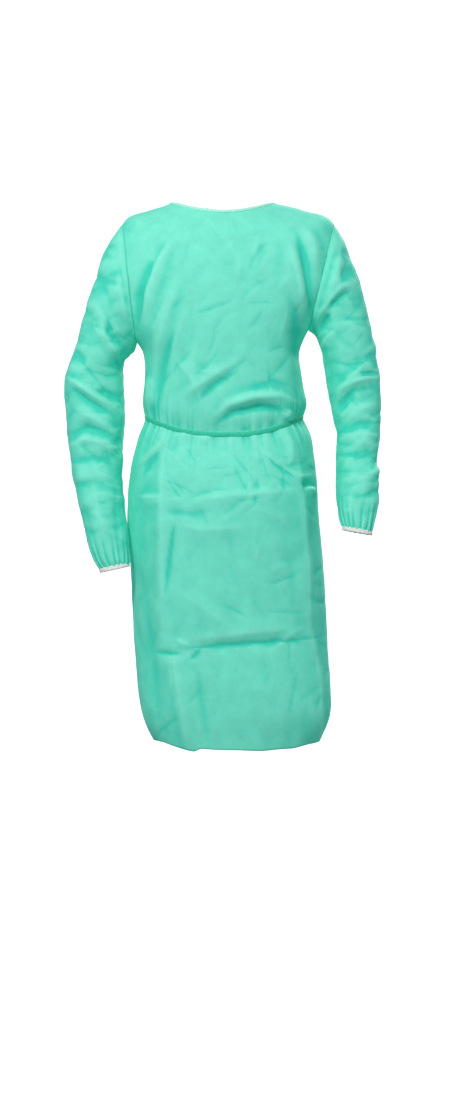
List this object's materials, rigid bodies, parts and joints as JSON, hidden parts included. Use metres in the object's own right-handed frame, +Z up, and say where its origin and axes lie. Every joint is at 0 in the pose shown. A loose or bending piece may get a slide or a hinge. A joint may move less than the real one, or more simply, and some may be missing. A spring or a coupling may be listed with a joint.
{
  "type": "patient gown",
  "caption": "Long-sleeved non-woven patient gown with gathered elastic wrists, a bound round neck and a waist tie, worn with the opening at the back.",
  "frame": {"origin": "middle of the neck opening, level with the highest points of the shoulders, where the gown rests on the wearer", "axes": "+Z up the wearer's body, -Y out of the gown's front, -X towards the wearer's right hand"},
  "size_m": [0.6148, 0.2873, 1.0541],
  "materials": {
    "nonwoven": "matt spunbond polypropylene non-woven, light green",
    "waist_tie": "folded non-woven tape, deeper green",
    "binding": "stitched non-woven binding tape, pale green",
    "wrist_elastic": "white knitted elastic"
  },
  "bodies": {
    "gown_body": {"front_panel": "nonwoven", "back_panel_right": "nonwoven", "back_panel_left": "nonwoven", "neck_binding_front": "binding", "waist_tie_front": "waist_tie", "waist_tie_tack": "waist_tie", "right_side_seam": "nonwoven", "left_side_seam": "nonwoven", "right_shoulder_seam": "nonwoven", "left_shoulder_seam": "nonwoven"},
    "right_arm": {"right_sleeve": "nonwoven", "right_wrist_elastic": "wrist_elastic", "right_underarm_seam": "nonwoven"},
    "left_arm": {"left_sleeve": "nonwoven", "left_wrist_elastic": "wrist_elastic", "left_underarm_seam": "nonwoven"},
    "inner_flap": {"back_flap_right": "nonwoven", "neck_binding_right": "binding", "waist_tie_right": "waist_tie"},
    "outer_flap": {"back_flap_left": "nonwoven", "neck_binding_left": "binding", "waist_tie_left": "waist_tie", "waist_knot": "waist_tie", "waist_bow_right": "waist_tie", "waist_bow_left": "waist_tie", "waist_tail_right": "waist_tie", "waist_tail_left": "waist_tie", "neck_knot": "binding", "neck_bow_right": "binding", "neck_bow_left": "binding", "neck_tail_right": "binding", "neck_tail_left": "binding"}
  },
  "joints": [
    {"name": "right_sleeve_swing", "type": "hinge", "parent": "gown_body", "child": "right_arm", "pos_m": [-0.1835, 0, -0.163], "axis": [-0.9941, 0, -0.1081], "range_deg": [0, 80]},
    {"name": "left_sleeve_swing", "type": "hinge", "parent": "gown_body", "child": "left_arm", "pos_m": [0.187, 0, -0.142], "axis": [-0.9729, 0, 0.2312], "range_deg": [0, 80]},
    {"name": "outer_flap_open", "type": "hinge", "parent": "gown_body", "child": "outer_flap", "pos_m": [0.084, 0.101, 0], "axis": [0.0133, 0.0267, -0.9996], "range_deg": [0, 90]},
    {"name": "inner_flap_open", "type": "hinge", "parent": "gown_body", "child": "inner_flap", "pos_m": [-0.084, 0.101, 0], "axis": [0.0133, -0.0267, 0.9996], "range_deg": [0, 30]}
  ],
  "couplings": [
    {"joint": "inner_flap_open", "follows": "outer_flap_open", "ratio": 0.33}
  ]
}
